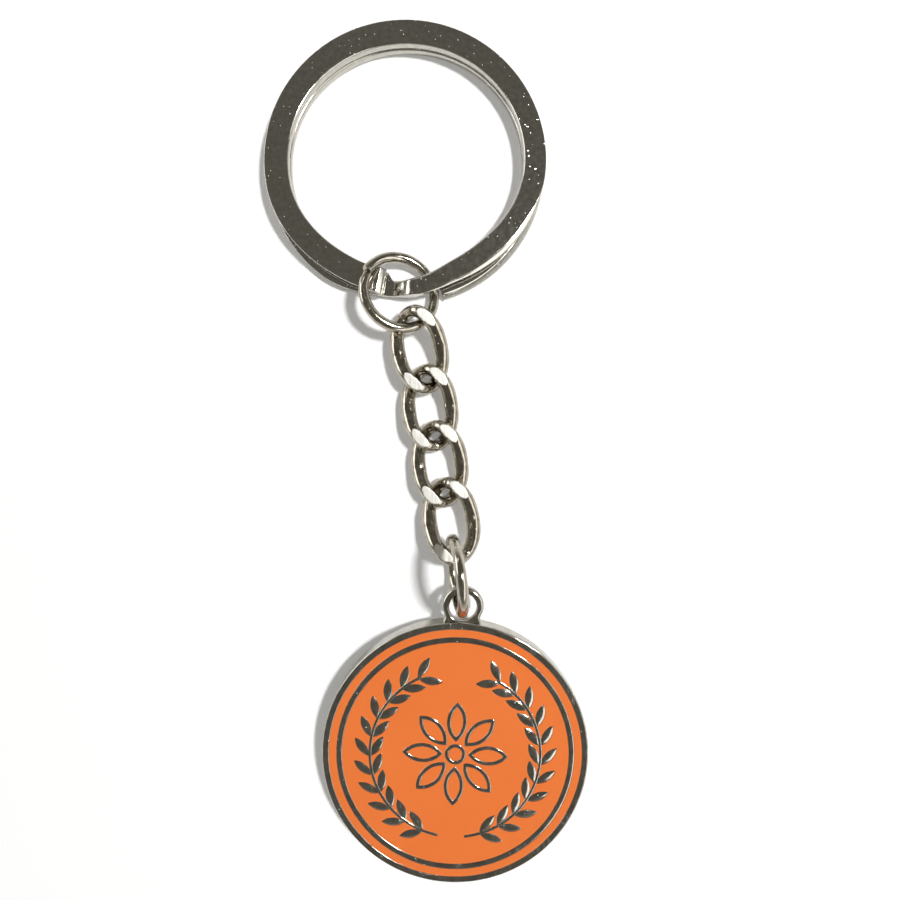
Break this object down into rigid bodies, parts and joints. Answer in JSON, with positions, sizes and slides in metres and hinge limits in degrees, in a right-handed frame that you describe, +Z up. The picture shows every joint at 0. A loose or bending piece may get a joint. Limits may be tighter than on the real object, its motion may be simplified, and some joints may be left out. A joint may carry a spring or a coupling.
{
  "type": "keychain",
  "caption": "Souvenir keychain: a split key ring, a jump ring, a short curb chain, a second jump ring and a round medallion with orange enamel and a rosette in a wreath",
  "frame": {"origin": "the split key ring's centre, on the flat surface the keychain lies on", "axes": "+Z up from the surface, out of the medallion's face; the chain runs towards -Y from the key ring to the medallion; +X to the right when the medallion is at the bottom"},
  "size_m": [0.0343, 0.0917, 0.0085],
  "materials": {
    "dark_nickel_plate": "nickel-plated spring steel, tumbled, with a fine speckle and light scratches",
    "nickel_plate": "bright nickel plate",
    "orange_enamel": "orange soft enamel, smooth and slightly glossy"
  },
  "bodies": {
    "split_ring": {"split_ring": "dark_nickel_plate"},
    "jump_ring_top": {"jump_ring_top": "nickel_plate"},
    "chain_link_1": {"chain_link_1": "nickel_plate"},
    "chain_link_2": {"chain_link_2": "nickel_plate"},
    "chain_link_3": {"chain_link_3": "nickel_plate"},
    "chain_link_4": {"chain_link_4": "nickel_plate"},
    "jump_ring_bottom": {"jump_ring_bottom": "nickel_plate"},
    "medallion": {"medallion_body": "nickel_plate", "enamel_border": "orange_enamel", "enamel_field": "orange_enamel", "enamel_petals": "orange_enamel", "enamel_heart": "orange_enamel"}
  },
  "joints": [
    {"name": "jump_ring_turn", "type": "hinge", "parent": "split_ring", "child": "jump_ring_top", "pos_m": [-0.00056, -0.01408, 0.00207], "axis": [0.3635, 0.1275, 0.9228], "range_deg": [-20, 20]},
    {"name": "link_1_swing", "type": "hinge", "parent": "jump_ring_top", "child": "chain_link_1", "pos_m": [0.00129, -0.01751, 0.00182], "axis": [-0.8015, -0.4622, 0.3796], "range_deg": [-12, 60]},
    {"name": "link_2_turn", "type": "hinge", "parent": "chain_link_1", "child": "chain_link_2", "pos_m": [0.00223, -0.02314, 0.00125], "axis": [0, 0, 1], "range_deg": [-25, 30]},
    {"name": "link_3_fold", "type": "hinge", "parent": "chain_link_2", "child": "chain_link_3", "pos_m": [0.00312, -0.02925, 0.00125], "axis": [0.9925, 0.1219, 0], "range_deg": [-17, 40]},
    {"name": "link_4_turn", "type": "hinge", "parent": "chain_link_3", "child": "chain_link_4", "pos_m": [0.00421, -0.0353, 0.00125], "axis": [0, 0, 1], "range_deg": [-28, 11]},
    {"name": "lower_ring_tip", "type": "hinge", "parent": "chain_link_4", "child": "jump_ring_bottom", "pos_m": [0.00561, -0.04232, 0.00211], "axis": [0.721, 0.0534, -0.6909], "range_deg": [-5, 45]},
    {"name": "medallion_swing", "type": "hinge", "parent": "jump_ring_bottom", "child": "medallion", "pos_m": [0.00546, -0.04354, 0.00424], "axis": [0.986, 0.1141, -0.1219], "range_deg": [-60, 40]}
  ]
}
